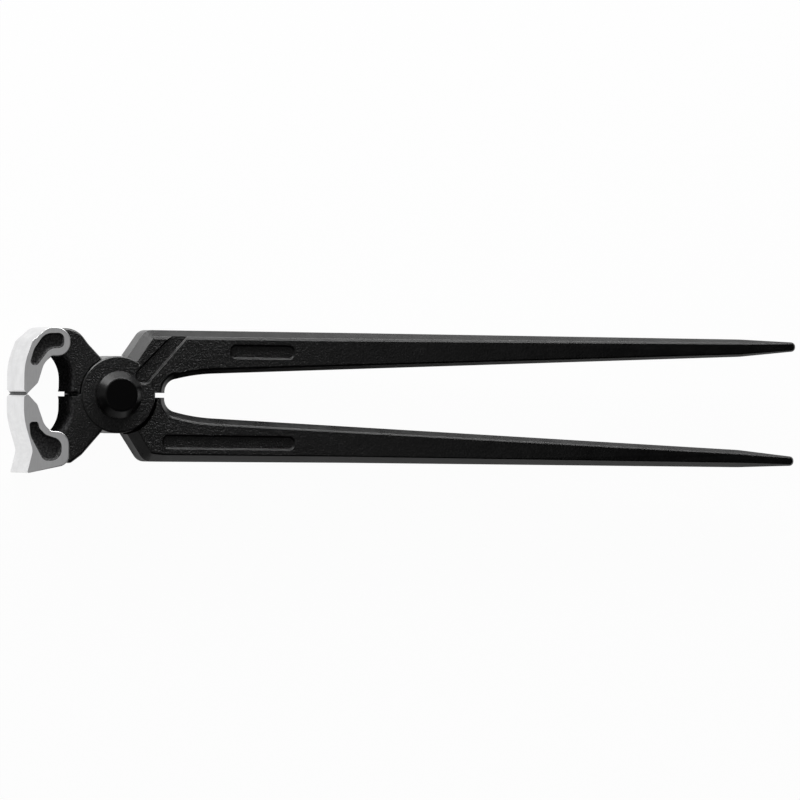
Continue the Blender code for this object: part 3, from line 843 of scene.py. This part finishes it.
# what metal sees of it carries a painted shadow: it fades far off on the near side and is dimmed by the hub,
# shade that only reflections show
spot = addNode(floorLook, "ShaderNodeTexCoord", {}).outputs["Object"]
sideways = addNode(floorLook, "ShaderNodeSeparateXYZ", {"Vector": spot}).outputs["Y"]
inputs = {0: spot, 1: studio["shadeCentre"]}
fromHub = addNode(floorLook, "ShaderNodeVectorMath", inputs, operation="DISTANCE").outputs["Value"]
paintedShadowShare = rescale(floorLook, sideways, studio["shadeY"], studio["lightY"], 0, studio["whiteToMetal"])
reach = rescale(floorLook, fromHub, studio["shadeInner"], studio["shadeOuter"], studio["shadeShare"], 1)
paintedShadowShare = maths(floorLook, "MULTIPLY", paintedShadowShare, reach)
mirrored = maths(floorLook, "MULTIPLY", rays["Is Glossy Ray"], paintedShadowShare)
share = maths(floorLook, "MAXIMUM", seen, mirrored)
blend = addNode(floorLook, "ShaderNodeMixShader", {"Fac": share, 1: shader.outputs["BSDF"], 2: glow})
floorOutput = floorLook.node_tree.nodes["Material Output"]
floorLook.node_tree.links.new(blend.outputs["Shader"], floorOutput.inputs["Surface"])
floor.data.materials.append(floorLook)

# Area lamps, in metres and watts: a strip and a key light from the upper side, one from the jaws'
# side and a soft one overhead
lamps = {
    "stripTop": {
        "place": (-0.05, 0.6, 0.15), "aim": (-0.05, 0, 0.05), "width": 1.3, "height": 0.22, "power": 9.5,
    },
    "keyTop": {"place": (-0.1, 1.3, 0.55), "aim": (0.1, 0, 0), "width": 1.8, "height": 0.7, "power": 3},
    "keyLeft": {"place": (-1.3, 0.35, 0.5), "aim": (0.1, 0, 0), "width": 1.2, "height": 0.6, "power": 1.5},
    "overhead": {"place": (-0.1, 0.0, 0.62), "aim": (-0.1, 0, 0), "width": 0.66, "height": 0.7, "power": 0.6},
}


# A flat lamp that faces the point it is aimed at.
def areaLamp(name, place, aim, width, height, power):
    data = bpy.data.lights.new(name, "AREA")
    data.shape = "RECTANGLE"
    data.size, data.size_y = width, height
    data.energy = power
    lamp = bpy.data.objects.new(name, data)
    bpy.context.scene.collection.objects.link(lamp)
    lamp.location = place
    lamp.rotation_euler = (Vector(aim) - Vector(place)).to_track_quat("-Z", "Y").to_euler()


for name, lamp in lamps.items():
    areaLamp(name, **lamp)

# The studio's walls: dark, with a glow low down on the upper side, full up to the direction's height
# glowFull and gone at glowGone. They are white to the camera alone, so that low views show the same
# paper behind the tool.
walls = {"dark": 0.01, "glow": 0.1, "glowGone": 0.75, "glowFull": 0.2}

world = bpy.data.worlds.new("studio")
bpy.context.scene.world = world
world.use_nodes = True
direction = addNode(world, "ShaderNodeTexCoord", {}).outputs["Generated"]
heading = addNode(world, "ShaderNodeSeparateXYZ", {"Vector": direction}).outputs
inputs = {"Value": heading["Z"], "From Min": walls["glowGone"], "From Max": walls["glowFull"]}
low = addNode(world, "ShaderNodeMapRange", inputs, interpolation_type="SMOOTHSTEP").outputs["Result"]
upperSide = rescale(world, heading["Y"], 0, 1, 0, walls["glow"])
brightness = maths(world, "MULTIPLY_ADD", low, upperSide, walls["dark"])
cameraRay = addNode(world, "ShaderNodeLightPath", {}).outputs["Is Camera Ray"]
paleSky = maths(world, "MULTIPLY", cameraRay, studio["whiteToCamera"])
strength = maths(world, "MAXIMUM", brightness, paleSky)
background = world.node_tree.nodes["Background"]
background.inputs["Color"].default_value = (1, 1, 1, 1)
world.node_tree.links.new(strength, background.inputs["Strength"])

# The camera looks down from the jaws' side by the tilt, and is turned in its own plane by the roll
tilt, roll = math.radians(studio["cameraTilt"]), math.radians(studio["cameraRoll"])
level = Vector((math.cos(tilt), 0, math.sin(tilt)))
across = Vector((0, 1, 0))
right = math.cos(roll) * level + math.sin(roll) * across
up = -math.sin(roll) * level + math.cos(roll) * across
back = right.cross(up)
target = Vector(studio["target"]) * millimetre
cameraData = bpy.data.cameras.new("camera")
cameraData.sensor_width = studio["sensorWidth"]
cameraData.lens = studio["sensorWidth"] * studio["cameraDistance"] / studio["viewWidth"]
cameraData.clip_end = studio["clipEnd"]
camera = bpy.data.objects.new("camera", cameraData)
bpy.context.scene.collection.objects.link(camera)
place = target + back * studio["cameraDistance"] * millimetre
camera.matrix_world = Matrix((
    (right.x, up.x, back.x, place.x), (right.y, up.y, back.y, place.y),
    (right.z, up.z, back.z, place.z), (0, 0, 0, 1)))
bpy.context.scene.camera = camera
bpy.context.scene.view_settings.view_transform = "Standard"
print("stage ready")
